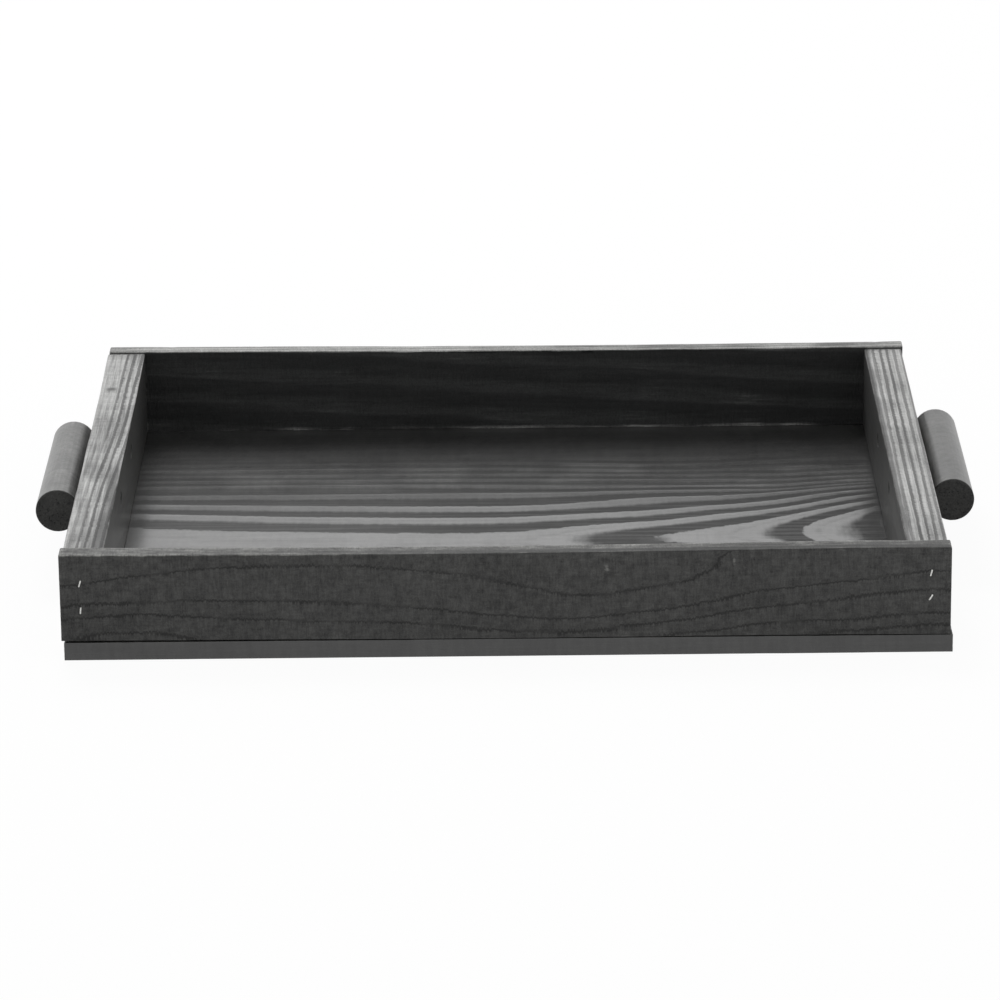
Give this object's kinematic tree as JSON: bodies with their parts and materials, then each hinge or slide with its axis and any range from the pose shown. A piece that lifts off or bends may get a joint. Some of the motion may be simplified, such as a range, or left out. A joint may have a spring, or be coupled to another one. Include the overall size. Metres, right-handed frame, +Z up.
{
  "type": "serving tray",
  "caption": "Rectangular serving tray of black-stained wood: a flat base under a low frame of boards stapled at the corners, with a round dowel grip along each end.",
  "frame": {"origin": "on the surface that the tray stands on, under the middle of the tray", "axes": "+Z up, +X to the right along the long boards with the grips at both ends, +Y from the front board to the back board"},
  "size_m": [0.4936, 0.35, 0.056],
  "materials": {
    "board_wood": "black stain, brushed grain, satin",
    "floor_wood": "black stain, satin lacquer",
    "grip_wood": "black stain, satin",
    "staple_steel": "bright wire",
    "screw_steel": "black phosphate"
  },
  "bodies": {
    "root": {"base_panel": "floor_wood", "front_board": "board_wood", "back_board": "board_wood", "left_end_board": "board_wood", "right_end_board": "board_wood", "left_grip": "grip_wood", "right_grip": "grip_wood", "corner_staple_front_left_lower": "staple_steel", "corner_staple_front_left_upper": "staple_steel", "corner_staple_back_left_lower": "staple_steel", "corner_staple_back_left_upper": "staple_steel", "corner_staple_front_right_lower": "staple_steel", "corner_staple_front_right_upper": "staple_steel", "corner_staple_back_right_lower": "staple_steel", "corner_staple_back_right_upper": "staple_steel", "base_staple_left_1": "staple_steel", "base_staple_left_2": "staple_steel", "base_staple_left_3": "staple_steel", "base_staple_left_4": "staple_steel", "base_staple_right_1": "staple_steel", "base_staple_right_2": "staple_steel", "base_staple_right_3": "staple_steel", "base_staple_right_4": "staple_steel", "grip_screw_left_front": "screw_steel", "grip_screw_left_back": "screw_steel", "grip_screw_right_front": "screw_steel", "grip_screw_right_back": "screw_steel"}
  },
  "joints": []
}
